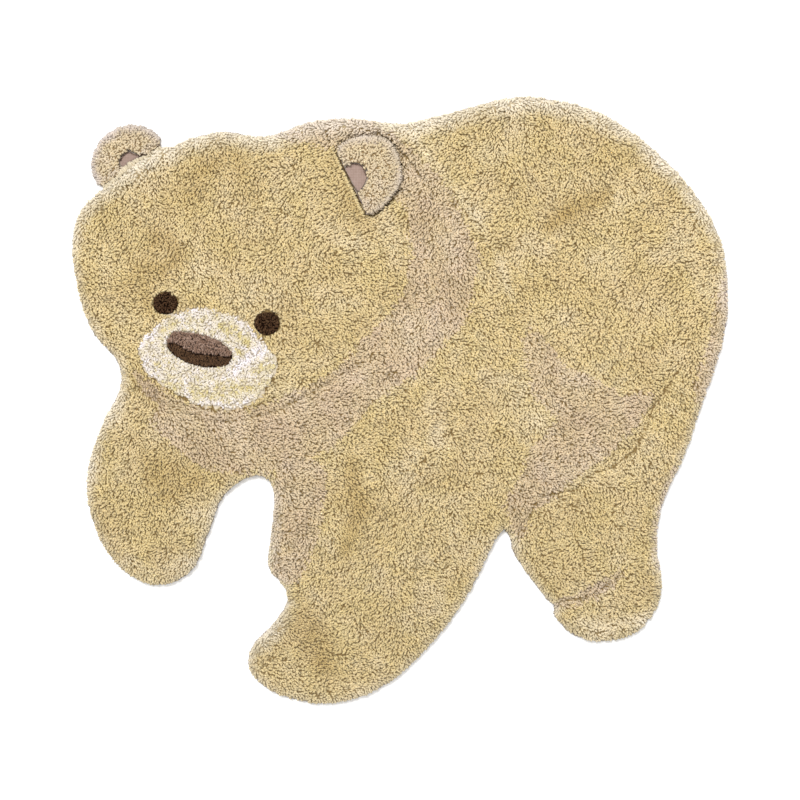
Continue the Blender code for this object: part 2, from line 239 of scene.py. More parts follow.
def laid_cloth(name, rings, finish, replaced):
    """A flat cloth, from rings of points from its middle out."""
    count = len(rings[0])
    faces = [tuple(range(count))]
    for near in range(0, (len(rings) - 1) * count, count):
        far = near + count
        faces += [(near + (i + 1) % count, near + i, far + i, far + (i + 1) % count) for i in range(count)]
    data = bpy.data.meshes.new(name)
    data.from_pydata(np.vstack(rings).tolist(), [], faces)
    cloth = bpy.data.objects.new(name, data)
    bpy.context.scene.collection.objects.link(cloth)
    apply_modifier(cloth, "TRIANGULATE")
    apply_modifier(cloth, "SOLIDIFY", thickness=CLOTH_THICKNESS, offset=0.0)
    bpy.ops.object.shade_smooth_by_angle(angle=SMOOTH_BELOW)
    cloth.data.materials.append(finish)
    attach(cloth, "root")
    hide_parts(replaced)


def hemmed_cloth(name, rim, foot, replaced):
    """A flat cloth that is cut past a rim and folded under along it."""
    stations = (
        (HEM_WIDTH + HEM_SLOPE, CLOTH_ON_FLOOR), (HEM_WIDTH, HEM_TOP), (EDGE_INSET + FOLD_ROUND, HEM_TOP),
        (EDGE_INSET, HEM_FOLD), (EDGE_INSET + FOLD_ROUND, HEM_UNDER), (TURNING_ENDS_IN, HEM_UNDER))
    rings = [at_height(grown(rim, -inset), foot + height) for inset, height in stations]
    laid_cloth(name, rings, backing_cotton, replaced)


def plain_weave(name, dark, light, thread, height):
    """Plain-woven cotton: threads that pass over and under each other, matt, with a fine even grid."""
    material, shader = new_finish(name, roughness=0.9, specular=0.15, sheen=0.2, sheen_roughness=0.6)
    place = add_node(material, "TexCoord")
    waves = [
        add_node(
            material, "TexWave",
            {"Vector": place["Object"], "Scale": math.pi / thread / 20, "Distortion": 0.6, "Detail": 1.0,
             "Detail Scale": 1.5}, wave_type="BANDS", bands_direction=direction, wave_profile="SIN")
        for direction in ("X", "Y")]
    crossed = add_node(material, "Math", {0: waves[0]["Fac"], 1: waves[1]["Fac"]}, operation="MULTIPLY")
    slub = add_node(
        material, "TexNoise", {"Vector": place["Object"], "Scale": 1 / SLUB_LENGTH, "Detail": 3.0})
    mixed = add_node(material, "Math", {0: crossed[0], 1: slub["Fac"]}, operation="ADD")
    tone = add_node(
        material, "ValToRGB", {"Fac": mixed[0]}, stops=((0.35, linear(dark)), (0.95, linear(light))))
    bump = add_node(material, "Bump", {"Strength": 0.6, "Distance": height, "Height": crossed[0]})
    set_sockets(shader, {"Base Color": tone["Color"], "Normal": bump["Normal"]})
    return material


# Unbleached cotton canvas, woven from twisted thread: matt and greyish, with a faint even grid
backing_cotton = plain_weave("cotton_canvas", "#908379", "#b8aca3", THREAD, THREAD_HEIGHT)
rug_rim = evened(grown(foot_ring("rug"), FOOT_INSET), RING_STEP)
hemmed_cloth("base_cloth", rug_rim, 0.0, "rug")

# The honey pile: cut cotton tufts, punched through the cloth 4.5 mm apart and sheared level. Each tuft
# leans and curls over its neighbours, and near the rim they fan out over the edge.
TUFT_PITCH = 0.0045
TUFT_REACH = 0.0070
TUFT_RISE = 0.0124
RIM_BAND = 0.022
DEEPEST = 0.0008
PLACE_JITTER = 0.22
MOTTLE_SIZE = 0.055
FRIZZ_SIZE = 0.0020
PLY_DEPTH = 0.0006
RANGE = ("Value", "From Min", "From Max", "To Min", "To Max")


def lock_data(data, tone, height, bleach, across=None):
    """Stores each point's tone, height up its tuft, bleach (deeper in tone below 0, which also gives the
    partings their painted shade) and side of the tuft.
    """
    held = data.attributes.new("tuft", "FLOAT_VECTOR", "POINT")
    held.data.foreach_set("vector", np.column_stack([tone, height, bleach]).astype(np.float32).ravel())
    sides = data.attributes.new("across_tuft", "FLOAT", "POINT")
    across = np.ones(len(data.vertices)) if across is None else across
    sides.data.foreach_set("value", across.astype(np.float32))


def cotton_pile(name, root, body, tip, pale, deep, tint, sheen=0.12, deepest_frizz_shade=0.60):
    """Cut cotton pile: soft matt ends, with a painted highlight on their crowns, and painted shade at their
    roots and down between their plies.
    """
    material, shader = new_finish(name, roughness=0.95, specular=0.1, sheen=sheen, sheen_roughness=0.5)
    place = add_node(material, "TexCoord")
    tuft = add_node(material, "Attribute", attribute_name="tuft")
    parts = add_node(material, "SeparateXYZ", {"Vector": tuft["Vector"]})
    broad = add_node(
        material, "TexNoise",
        {"Vector": place["Object"], "Scale": 1 / MOTTLE_SIZE, "Detail": 3.0, "Roughness": 0.6})
    share = add_node(material, "MapRange", zip(RANGE, (broad["Fac"], 0.38, 0.66, 0.0, 0.55)))
    mottled = add_node(material, "Mix", {0: share[0], 6: linear(body), 7: linear(tint)}, data_type="RGBA")
    # Painted highlight: the crowns of the tufts turn to the tip colour.
    crown = add_node(material, "MapRange", zip(RANGE, (parts["Y"], 0.85, 1.0, 0.0, 0.6)))
    topped = add_node(material, "Mix", {0: crown[0], 6: mottled[2], 7: linear(tip)}, data_type="RGBA")
    paler = add_node(
        material, "Mix", {0: parts["Z"], 6: topped[2], 7: linear(pale)}, data_type="RGBA", clamp_factor=True)
    # Below 0 the bleach turns the colour to the deep one: darker patches, and the painted shade of the
    # partings.
    deep_tone_and_shade = add_node(material, "Math", {0: parts["Z"], 1: -1.0}, operation="MULTIPLY")
    deeper = add_node(
        material, "Mix", {0: deep_tone_and_shade[0], 6: paler[2], 7: linear(deep)}, data_type="RGBA", clamp_factor=True)
    # Painted shade at the roots, in the root colour, which fades where the pile is pale and lies flat.
    loose = add_node(material, "MapRange", zip(RANGE, (parts["Z"], 0.2, 1.0, 1.0, 0.12)))
    depth = add_node(material, "MapRange", zip(RANGE, (parts["Y"], 0.40, 0.78, 1.0, 0.0)))
    painted_root_shade = add_node(material, "Math", {0: depth[0], 1: loose[0]}, operation="MULTIPLY")
    root_shaded = add_node(material, "Mix", {0: painted_root_shade[0], 6: deeper[2], 7: linear(root)}, data_type="RGBA")
    # The tuft's tone, which also carries the painted shade of creases, partings and the rim.
    value = add_node(material, "MapRange", zip(RANGE, (parts["X"], -2.0, 1.0, 0.52, 1.04)))
    toned = add_node(material, "VectorMath", {0: root_shaded[2], "Scale": value[0]}, operation="SCALE")
    # Painted shade in the groove between a tuft's two plies and in dark specks of its frizz.
    across = add_node(material, "Attribute", attribute_name="across_tuft")
    beside = add_node(material, "Math", {0: across["Fac"]}, operation="ABSOLUTE")
    ply_groove_shade = add_node(material, "MapRange", zip(RANGE, (beside[0], 0.05, 0.42, 0.80, 1.0)))
    tangle = add_node(
        material, "TexNoise",
        {"Vector": place["Object"], "Scale": 1 / FRIZZ_SIZE, "Detail": 1.0, "Roughness": 0.6})
    frizz = add_node(material, "MapRange", zip(RANGE, (tangle["Fac"], 0.36, 0.54, deepest_frizz_shade, 1.04)))
    painted_ply_shade = add_node(material, "Math", {0: ply_groove_shade[0], 1: frizz[0]}, operation="MULTIPLY")
    plies = add_node(material, "Mix", {0: loose[0], 2: 1.0, 3: painted_ply_shade[0]}, data_type="FLOAT")
    plied = add_node(material, "VectorMath", {0: toned[0], "Scale": plies[0]}, operation="SCALE")
    bump = add_node(material, "Bump", {"Strength": 0.6, "Distance": PLY_DEPTH, "Height": plies[0]})
    set_sockets(shader, {"Base Color": plied[0], "Normal": bump["Normal"]})
    return material


# Honey-dyed cotton yarn, cut and washed: matt, with a painted highlight on the crowns and brown painted shade
# between the tufts
honey_yarn = cotton_pile(
    "honey_cotton_pile", "#8f774d", "#e7d199", "#eadaaf", "#f2e6cf", "#c9ad70", "#e9d3aa")


def tuft_shape(name, sides, rings):
    """One tuft that leans to +X: a closed tapered stalk, pulled up ring by ring from its root.

    The rings' columns: how far it has leant, its height, its half width there and its slant in degrees.
    """
    bpy.ops.object.select_all(action="DESELECT")
    root = (rings[0][0], 0.0, rings[0][1])
    bpy.ops.mesh.primitive_circle_add(
        vertices=sides, radius=rings[0][2], fill_type="NGON", location=root,
        rotation=(0.0, 0.0, math.pi / 2))
    shape = bpy.context.object
    shape.name = name
    bpy.ops.object.transform_apply(location=True, rotation=True, scale=False)
    root_points = [v.index for v in shape.data.vertices]
    bpy.ops.object.mode_set(mode="EDIT")
    bpy.ops.mesh.select_all(action="SELECT")
    bpy.ops.transform.rotate(value=-math.radians(rings[0][3]), orient_axis="Y", center_override=root)
    for last, here in zip(rings, rings[1:]):
        move = (here[0] - last[0], 0.0, here[1] - last[1])
        centre = (here[0], 0.0, here[1])
        bpy.ops.mesh.extrude_region_move(TRANSFORM_OT_translate={"value": move})
        if here[2] == 0.0:
            bpy.ops.mesh.merge(type="CENTER")
            break
        bpy.ops.transform.resize(value=(here[2] / last[2],) * 3, center_override=centre)
        bpy.ops.transform.rotate(
            value=-math.radians(here[3] - last[3]), orient_axis="Y", center_override=centre)
    bpy.ops.mesh.select_all(action="DESELECT")
    bpy.ops.object.mode_set(mode="OBJECT")
    for index in root_points:
        shape.data.vertices[index].select = True
    bpy.ops.object.mode_set(mode="EDIT")
    bpy.ops.mesh.merge(type="CENTER")
    bpy.ops.mesh.select_all(action="SELECT")
    bpy.ops.mesh.normals_make_consistent(inside=False)
    bpy.ops.mesh.quads_convert_to_tris()
    bpy.ops.object.mode_set(mode="OBJECT")
    points = np.array([v.co[:] for v in shape.data.vertices])
    faces = np.array([p.vertices[:] for p in shape.data.polygons])
    bpy.data.objects.remove(shape)
    return points, faces


FIELD_TUFT = tuft_shape("field_tuft", 3, (
    (0.0, 0.0, 0.0018, 0), (0.0012, 0.0098, 0.0034, 36), (0.0043, 0.0123, 0.0032, 78),
    (TUFT_REACH, TUFT_RISE, 0.0, 92)))
RIM_REACH = 0.0136
RIM_TUFT = tuft_shape("rim_tuft", 3, (
    (0.0, 0.0, 0.0016, 0), (0.0026, 0.0040, 0.0032, 55), (0.0070, 0.0058, 0.0033, 80),
    (0.0114, 0.0060, 0.0027, 92), (RIM_REACH, 0.0058, 0.0, 95)))


def inside(points, ring):
    """Which points lie in a ring, by counting the edges to their right."""
    found = np.zeros(len(points), bool)
    for a, b in zip(ring, np.roll(ring, 1, axis=0)):
        crosses = (a[1] > points[:, 1]) != (b[1] > points[:, 1])
        if crosses.any():
            at = (b[0] - a[0]) * (points[:, 1] - a[1]) / (b[1] - a[1] if b[1] != a[1] else 1.0) + a[0]
            found ^= crosses & (points[:, 0] < at)
    return found


def nearest_on(points, line, widths=None):
    """For each point: how far a line is, the unit way from it, the line's direction and its width there."""
    best = np.full(len(points), np.inf)
    away = np.zeros((len(points), 2))
    along = np.zeros((len(points), 2))
    width = np.zeros(len(points))
    for k, (start, end) in enumerate(zip(line, line[1:])):
        run = end - start
        share = np.clip((points - start) @ run / (run @ run), 0.0, 1.0)
        gap = points - (start + share[:, None] * run)
        distance = np.hypot(gap[:, 0], gap[:, 1])
        nearer = distance < best
        best[nearer] = distance[nearer]
        away[nearer] = gap[nearer] / np.maximum(distance[nearer], 1e-9)[:, None]
        along[nearer] = run / np.linalg.norm(run)
        if widths is not None:
            width[nearer] = (widths[k] * (1 - share) + widths[k + 1] * share)[nearer]
    return best, away, along, width


def to_border(points, ring):
    """For each point: how far a ring's border is, and the unit way from it."""
    return nearest_on(points, closed(ring))[:2]


def soft(gap, width):
    """1 on a line, and less and less past that width from it."""
    return np.exp(-((gap / width) ** 2))


def angle_of(way):
    """The angle of each direction, in radians from +X."""
    return np.arctan2(way[:, 1], way[:, 0])


def cloudy(points, width, seed):
    """A smooth chance value from -1 to 1 at each point, which changes over about that width."""
    return np.array([noise.noise(Vector((x / width, y / width, seed))) for x, y in points])


def wandering(points, width, *seeds):
    """A smooth chance direction at each point, from two seeds."""
    return np.column_stack([cloudy(points, width, seed) for seed in seeds])


def staggered(ring, pitch, rng):
    """Places for tufts in a ring: staggered rows a pitch apart, each place a little off."""
    low, high = ring.min(axis=0), ring.max(axis=0)
    rows = np.arange(low[1], high[1], pitch * math.sqrt(3) / 2)
    found = []
    for k, y in enumerate(rows):
        xs = np.arange(low[0] + (k % 2) * pitch / 2, high[0], pitch)
        found.append(np.column_stack([xs, np.full(len(xs), y)]))
    places = np.vstack(found)
    places += rng.uniform(-PLACE_JITTER, PLACE_JITTER, places.shape) * pitch
    return places[inside(places, ring)]


def top_of(node):
    """A function that gives the height of a CAD node's top at each point."""
    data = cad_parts[node].data
    tree = BVHTree.FromPolygons([v.co for v in data.vertices], [p.vertices[:] for p in data.polygons])
    down = Vector((0.0, 0.0, -1.0))

    def heights(points):
        hits = [tree.ray_cast(Vector((x, y, 1.0)), down)[0] for x, y in points]
        return np.array([hit.z if hit else np.nan for hit in hits])

    return heights


def plant(name, shape, places, roots, angle, finish, tone, bleach, length=1.0, width=1.0, rise=1.0,
          pitch=0.0, curl=0.0):
    """Sets a tuft at each place, as one mesh. A value is one number for all the tufts, or one for each."""
    points, faces = shape
    count, corners = len(places), len(points)
    reach, height = points[:, 0].max(), points[:, 2].max()
    values = (roots, tone, bleach, length, width, rise, pitch, curl)
    roots, tone, bleach, length, width, rise, pitch, curl = (
        np.broadcast_to(value, count)[:, None] for value in values)
    x = points[:, 0] * length
    y = points[:, 1] * width + curl * (points[:, 0] / reach) ** 2
    z = points[:, 2] * rise
    tipped_x = x * np.cos(pitch) + z * np.sin(pitch)
    tipped_z = z * np.cos(pitch) - x * np.sin(pitch)
    cos, sin = np.cos(angle)[:, None], np.sin(angle)[:, None]
    co = np.empty((count, corners, 3))
    co[:, :, 0] = places[:, :1] + tipped_x * cos - y * sin
    co[:, :, 1] = places[:, 1:2] + tipped_x * sin + y * cos
    co[:, :, 2] = np.maximum(roots + tipped_z, DEEPEST)
    all_faces = (faces[None] + (np.arange(count) * corners)[:, None, None]).reshape(-1, 3)
    data = bpy.data.meshes.new(name)
    data.vertices.add(count * corners)
    data.vertices.foreach_set("co", co.astype(np.float32).ravel())
    data.loops.add(all_faces.size)
    data.loops.foreach_set("vertex_index", all_faces.astype(np.int32).ravel())
    data.polygons.add(len(all_faces))
    data.polygons.foreach_set("loop_start", np.arange(0, all_faces.size, 3, dtype=np.int32))
    data.update(calc_edges=True)
    data.polygons.foreach_set("use_smooth", np.ones(len(all_faces), bool))
    up = np.tile(points[:, 2] / height, count)
    across = np.tile(points[:, 1] / np.abs(points[:, 1]).max(), count)
    lock_data(data, np.repeat(tone, corners), up, np.repeat(bleach, corners), across)
    cell_uvs(data, faces, count)
    data.materials.append(finish)
    piece = bpy.data.objects.new(name, data)
    bpy.context.scene.collection.objects.link(piece)
    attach(piece, "root")
    return piece


def cell_uvs(data, faces, count):
    """A texture map in which each tuft has a square cell, and each of its faces a triangle of that cell."""
    across = math.ceil(math.sqrt(count))
    per_side = math.ceil(math.sqrt(math.ceil(len(faces) / 2)))
    half = np.array([[(0.08, 0.05), (0.95, 0.05), (0.08, 0.92)], [(0.92, 0.95), (0.05, 0.95), (0.92, 0.08)]])
    spots = np.array([(k // 2 % per_side, k // 2 // per_side) for k in range(len(faces))])
    one = (half[np.arange(len(faces)) % 2] * 0.9 + 0.05 + spots[:, None, :]) / per_side
    cells = np.array([(k % across, k // across) for k in range(count)])
    uv = (one[None] * 0.94 + 0.03 + cells[:, None, None, :]) / across
    data.uv_layers.new(name="OFBake").data.foreach_set("uv", uv.astype(np.float32).ravel())


# Outlines of the fields of pile that the shears part. Columns: piece, and its corners.
HONEY_FIELDS = (
    ("head", ((-700, 560), (-160, 620), (-60, 500), (30, 430), (60, 330), (20, 160), (-80, 60), (-200, 0),
              (-350, -45), (-470, -5), (-560, 56), (-700, 60))),
    ("left_foreleg", ((-700, 60), (-560, 56), (-470, -5), (-350, -45), (-200, 0), (-150, -60), (-240, -140),
                      (-300, -160), (-330, -400), (-700, -400))),
    ("hind_leg", ((208, -256), (242, -262), (258, -236), (284, -204), (332, -188), (380, -156), (432, -112),
                  (476, -68), (500, -28), (512, 8), (544, 48), (700, 90), (700, -520), (208, -520))),
    ("right_foreleg", ((-350, -640), (208, -640), (208, -256), (190, -90), (60, 0), (-150, -60),
                       (-240, -140), (-300, -160), (-330, -400))),
    ("rump", ((330, 640), (330, -100), (208, -256), (700, 90), (700, 640))),
    ("back", ((-700, -640), (700, -640), (700, 640), (-700, 640))),
)

# Shaded fields, in a duller yarn: strokes of changing width. Columns: place, rows of x, y, half width.
SHADE_STROKES = (
    ("nape", ((-230, 545, 22), (-120, 540, 38), (-30, 500, 40), (60, 400, 48))),
    ("neck", ((60, 400, 48), (90, 290, 68), (70, 190, 66), (0, 110, 62), (-90, 30, 50))),
    ("chest", ((-90, 30, 50), (-170, -40, 62), (-270, -80, 66), (-370, -90, 50), (-460, -40, 34))),
    ("chin", ((-536, 56, 5), (-500, 24, 13), (-450, -12, 16), (-380, -32, 16), (-300, -34, 16),
              (-220, -4, 13), (-140, 42, 12), (-70, 86, 8))),
    ("hidden leg", ((-200, -160, 52), (-208, -260, 48), (-222, -330, 34))),
    ("belly", ((265, 120, 22), (300, 40, 46), (380, -20, 60), (440, -30, 44), (490, 0, 16))),
    ("groin", ((380, -60, 60), (300, -130, 50), (236, -214, 26), (240, -254, 18))),
    ("tail side", ((656, 256, 8), (650, 180, 20), (640, 110, 26), (618, 40, 26), (602, 10, 14))),
    ("hock", ((548, -140, 6), (522, -220, 10), (512, -290, 10), (520, -340, 6))),
    ("toe crease", ((314, -408, 8), (350, -400, 11), (384, -384, 13), (420, -364, 11), (446, -344, 6))),
)

# Partings in the pile, sharper than the solid's: their tufts are sunk and darkened with painted shade, and
# the one under the right ear is the ear's painted shadow. Columns: place, depth, half width and the points
# passed.
PARTINGS = (
    ("chin", 2.0, 3.5, ((-560, 60), (-526, 30), (-490, 6), (-440, -20), (-390, -38), (-330, -41),
                        (-276, -28), (-220, -6), (-170, 20), (-120, 50), (-80, 76))),
    ("under the muzzle", 1.6, 3.0, ((-500, 30), (-450, -4), (-400, -18), (-320, -20), (-280, -8),
                                    (-240, 16))),
    ("hind leg", 4.5, 3.2, ((564, 68), (539, 34), (512, -5), (508, -10), (496, -41), (468, -100),
                            (430, -130), (404, -140), (370, -154), (350, -178), (316, -186), (286, -188),
                            (261, -218), (259, -239), (248, -260), (223, -264))),
    ("behind the ear", 4.0, 2.6, ((-44, 538), (-15, 517), (4, 497), (19, 482), (30, 468), (44, 446))),
    ("under the right ear", 5.0, 5.5, ((-64, 372), (-48, 378), (-30, 390), (-14, 404), (-4, 420))),
    ("right ear foot", 3.0, 2.5, ((-130, 496), (-128, 480), (-111, 462), (-87, 418), (-72, 372))),
    ("hind paw", 3.0, 3.5, ((312, -402), (355, -398), (387, -385), (415, -370), (446, -342))),
    ("left ear foot", 2.0, 2.5, ((-591, 418), (-556, 424), (-544, 430), (-531, 439), (-505, 461),
                                 (-486, 469))),
    ("near foreleg", 0.4, 5.0, ((-30, 60), (-56, 0), (-90, -80), (-120, -140), (-140, -200), (-156, -260),
                                (-170, -300), (-200, -340), (-226, -380))),
    ("forearm, upper", 1.6, 3.0, ((70, -158), (30, -176), (8, -196), (-16, -226), (-58, -252), (-84, -276),
                                  (-120, -296))),
    ("forearm, lower", 1.6, 3.0, ((20, -232), (-30, -262), (-64, -292), (-100, -300), (-150, -322))),
)

# Which way the small creases of the washed pile run. Columns: x, y, and degrees from +X.
CREASE_WAYS = (
    (-496, 342, -12), (-266, 306, -5), (-386, 246, 5), (-510, 186, 70), (-240, 26, 45), (-38, 210, 55),
    (-129, 416, -60), (334, 430, 18), (124, 368, -55), (166, 220, 48), (460, 136, 5), (560, 300, -60),
    (-518, -122, -15), (-436, -228, -10), (-354, -64, 15), (-68, -56, 60), (-144, -182, 62), (-34, -260, 30),
    (-76, -390, -8), (-169, -508, 85), (88, -366, 50), (348, -62, 35), (454, -128, 22), (348, -224, 25),
    (474, -380, 60),
)
CREASE_REACH = 0.080
CREASE_LENGTH = 0.015
CREASE_SPACING = 0.0044

# Lines that the pile lies along, where it was brushed. Columns: place, half width, and the points passed.
COMBED = (
    ("round the muzzle", 26, ((-560, 110), (-530, 60), (-470, 4), (-400, -24), (-300, -18), (-230, 20),
                              (-200, 80))),
    ("neck", 40, ((60, 380), (90, 290), (70, 190), (20, 90))),
    ("chest", 44, ((-440, -60), (-340, -90), (-230, -70), (-120, 0))),
    ("belly", 50, ((300, -130), (380, -60), (470, -10))),
    ("forearm", 60, ((40, -200), (-40, -280), (-140, -340))),
)

# Where the yarn is paler, or darker if the strength is below 0. Columns: place, strength, and rows of
# x, y and width.
PALE_STROKES = (
    ("shoulder", 0.25, ((30, 520, 8), (100, 440, 12), (160, 360, 12), (200, 270, 12), (226, 200, 8))),
    ("hind thigh", 0.25, ((240, 40, 20), (270, -20, 24), (300, -60, 16))),
    ("flank", 0.2, ((60, 10, 16), (70, -50, 26), (90, -110, 20))),
    ("hind toes", 0.45, ((350, -440, 16), (400, -460, 20), (480, -440, 16))),
    ("forepaw sole", 0.35, ((-540, -320, 14), (-490, -345, 18), (-430, -320, 14))),
    ("brow", -0.6, ((-480, 330, 26), (-440, 300, 20), (-470, 260, 20))),
    ("forehead", -0.4, ((-410, 440, 30), (-340, 500, 20), (-300, 420, 30))),
    ("cheek", -0.45, ((-560, 220, 30), (-520, 260, 30), (-500, 180, 16))),
    ("behind the ear", -0.5, ((-90, 400, 30), (-60, 340, 20))),
    ("saddle", -0.8, ((300, 350, 16), (350, 390, 30), (410, 410, 16))),
    ("right forepaw", -0.55, ((-220, -400, 26), (-170, -460, 40), (-150, -540, 30))),
    ("right foreleg", -0.6, ((-100, -120, 14), (-80, -200, 26), (-110, -300, 16))),
    ("left foreleg", -0.5, ((-500, -120, 34), (-460, -180, 40), (-400, -160, 20))),
)

# The face's fields. An ellipse's columns: centre x, y, long half, short half, turn in degrees.
MUZZLE = ((-529, 98), (-506, 138), (-468, 166), (-436, 180), (-406, 186), (-366, 182), (-328, 168),
          (-306, 158), (-290, 138), (-274, 122), (-256, 100), (-243, 76), (-248, 54), (-262, 26),
          (-284, 0), (-323, -21), (-366, -16), (-402, -14), (-436, 4), (-464, 24), (-508, 48), (-516, 70))
NOSE = ((-467, 113), (-461, 100), (-447, 88), (-431, 78), (-411, 70), (-391, 66), (-372, 67), (-356, 69),
        (-344, 73), (-337, 82), (-335, 93), (-344, 105), (-356, 115), (-372, 123), (-391, 128), (-411, 132),
        (-431, 136), (-446, 136), (-459, 130))
EYES = ((-469, 194, 25, 23, 0), (-266, 154, 26, 24, 0))


def mm(rows):
    """A table of places in millimetres, as an array in metres."""
    return np.array(rows, float) * MM


def ellipse(row, count=28):
    """The points of an ellipse, anticlockwise."""
    x, y, long_half, short_half, turn = row
    angles = np.linspace(0.0, 2 * math.pi, count, endpoint=False)
    u, v = long_half * np.cos(angles), short_half * np.sin(angles)
    c, s = math.cos(math.radians(turn)), math.sin(math.radians(turn))
    return mm(np.column_stack([x + u * c - v * s, y + u * s + v * c]))


def rounded(ring, passes=2):
    """A closed ring with its corners cut off, again and again."""
    for _ in range(passes):
        ahead = np.roll(ring, -1, axis=0)
        ring = np.stack([ring * 0.75 + ahead * 0.25, ring * 0.25 + ahead * 0.75], axis=1).reshape(-1, 2)
    return ring


def stroked(places, strokes):
    """How strongly a table of soft-edged strokes covers each place."""
    total = np.zeros(len(places))
    for _, strength, rows in strokes:
        gap, _, _, width = nearest_on(places, *line_and_widths(rows))
        total += strength * soft(gap, width)
    return total


def line_and_widths(rows):
    """A stroke's line and its widths, from its rows of x, y and width."""
    return mm(rows)[:, :2], mm(rows)[:, 2]


def strayed(places, far, rng):
    """The places moved a little at random, so that a field's border read at them is ragged."""
    waved = far * wandering(places, 0.009, 31.0, 37.0)
    return places + waved + rng.normal(0.0, far * 0.3, places.shape)


def crease_ways(places):
    """The way that the creases run at each place, in radians, from the table's nearest rows."""
    turned = np.zeros((len(places), 2))
    for x, y, degrees in CREASE_WAYS:
        gap = np.hypot(places[:, 0] - x * MM, places[:, 1] - y * MM)
        double = 2 * math.radians(degrees)
        turned += soft(gap, CREASE_REACH)[:, None] * (math.cos(double), math.sin(double))
    return angle_of(turned) / 2


def creased(places, ways, turns=8):
    """Thin waves of the pile that follow the ways: above 0 in a crease, and below 0 on a ridge."""
    total = np.zeros(len(places))
    squares = np.zeros(len(places))
    for k in range(turns):
        turn = math.pi * k / turns
        weight = np.clip(np.cos(2 * (ways - turn)), 0.0, 1.0) ** 6
        near = weight > 0.02
        along = places[near] @ (math.cos(turn), math.sin(turn)) / CREASE_LENGTH
        across = places[near] @ (-math.sin(turn), math.cos(turn)) / CREASE_SPACING
        waves = np.array([noise.noise(Vector((a, b, 7.0 * k))) for a, b in zip(along, across)])
        total[near] += weight[near] * waves
        squares += weight ** 2
    return total / np.sqrt(squares)


# How the pile wanders from the creases' way. Columns: width of a patch, strength and two seeds.
WANDERS = ((0.045, 1.6, 3.0, 9.0), (0.018, 0.9, 13.0, 19.0))
LEAN_SPREAD = 0.5
CREASE_SINKS = 0.0026
CREASE_PAINTED_SHADE = 1.4
DARKER_TO_FEET = 0.5
PARTING_PAINTED_SHADE = 2.5
FULL_PARTING = 2.5
FADE_SLOPE = 1.3
NOSE_AND_EYE_EDGE = 0.006


def lie_of_pile(places, rim_gap, rim_way, rng):
    """For each tuft: the angle it leans at, how far it is pressed down, how pale it is and how dark, with
    painted shade in its creases and partings.
    """
    ways = crease_ways(places)
    way = np.column_stack([np.sin(ways), -np.cos(ways)])
    for width, strength, *seeds in WANDERS:
        way += wandering(places, width, *seeds) * strength
    stirred = 1.0 + 0.9 * cloudy(places, 0.06, 47.0)
    fan = np.clip(1.0 - rim_gap / RIM_BAND, 0.0, 1.0)
    crease = np.clip((creased(places, ways) * stirred - 0.15) / 0.22, 0.0, 1.0) * (1.0 - fan)
    sunk = CREASE_SINKS * crease
    # Painted shade in the creases, plus a little more dark everywhere and more towards the feet.
    dark = CREASE_PAINTED_SHADE * crease + 0.1 + DARKER_TO_FEET * np.clip((0.15 - places[:, 1]) / 0.6, 0.0, 1.0)
    way += rim_way * (1.7 * fan)[:, None]
    fade_band = RIM_BAND * (1.0 + np.clip(rim_way[:, 1], 0.0, 1.0))
    faded = np.clip(FADE_SLOPE * (1.0 - rim_gap / fade_band), 0.0, 1.0) * (0.66 + 0.38 * rim_way[:, 1])
    bleach = 0.35 * cloudy(places, 0.09, 23.0) + 0.2 * cloudy(places, 0.03, 29.0) + faded
    bleach += stroked(places, PALE_STROKES)
    dark += (1.25 - 0.45 * rim_way[:, 1]) * faded
    for _, reach, line in COMBED:
        gap, _, along, _ = nearest_on(places, mm(line))
        way += along * (1.3 * soft(gap, reach * MM))[:, None]
    ragged = np.clip(0.8 + 1.2 * cloudy(places, 0.015, 53.0), 0.2, 1.1)
    moved = strayed(places, 0.003, rng)
    for _, depth, half_width, line in PARTINGS:
        gap, away, _, _ = nearest_on(moved, mm(line))
        near = soft(gap, half_width * MM) * ragged
        strength = min(1.0, depth / FULL_PARTING)
        sunk = np.maximum(sunk, depth * MM * near)
        way += away * (1.8 * strength * near)[:, None]
        # Painted shade in the partings: their tufts turn to the deep colour and darken.
        bleach -= 0.2 * strength * near
        dark = np.maximum(dark, PARTING_PAINTED_SHADE * strength * near)
    for ring in (nose_ring, *eye_rings):
        gap, away = to_border(places, ring)
        way += away * (1.6 * soft(gap, NOSE_AND_EYE_EDGE))[:, None]
    angle = angle_of(way) + rng.normal(0.0, LEAN_SPREAD, len(places)) * (1.0 - 0.6 * fan)
    return angle, sunk, bleach, dark


rng = np.random.default_rng(11)
FACE_BORDER_STRAYS = 0.004
SHADE_BORDER_STRAYS = 0.009
FIELD_INSET = 0.004
BARE_UNDER_EAR = -0.010
REACH_PAST_RIM = 0.0015
LEAST_PAST_RIM = 0.001
HELD_IN_BAND = 0.014
PILE_LIFT = 0.0004
rug_top = top_of("rug")
muzzle_ring = rounded(mm(MUZZLE))
nose_ring = rounded(mm(NOSE))
eye_rings = [ellipse(eye) for eye in EYES]

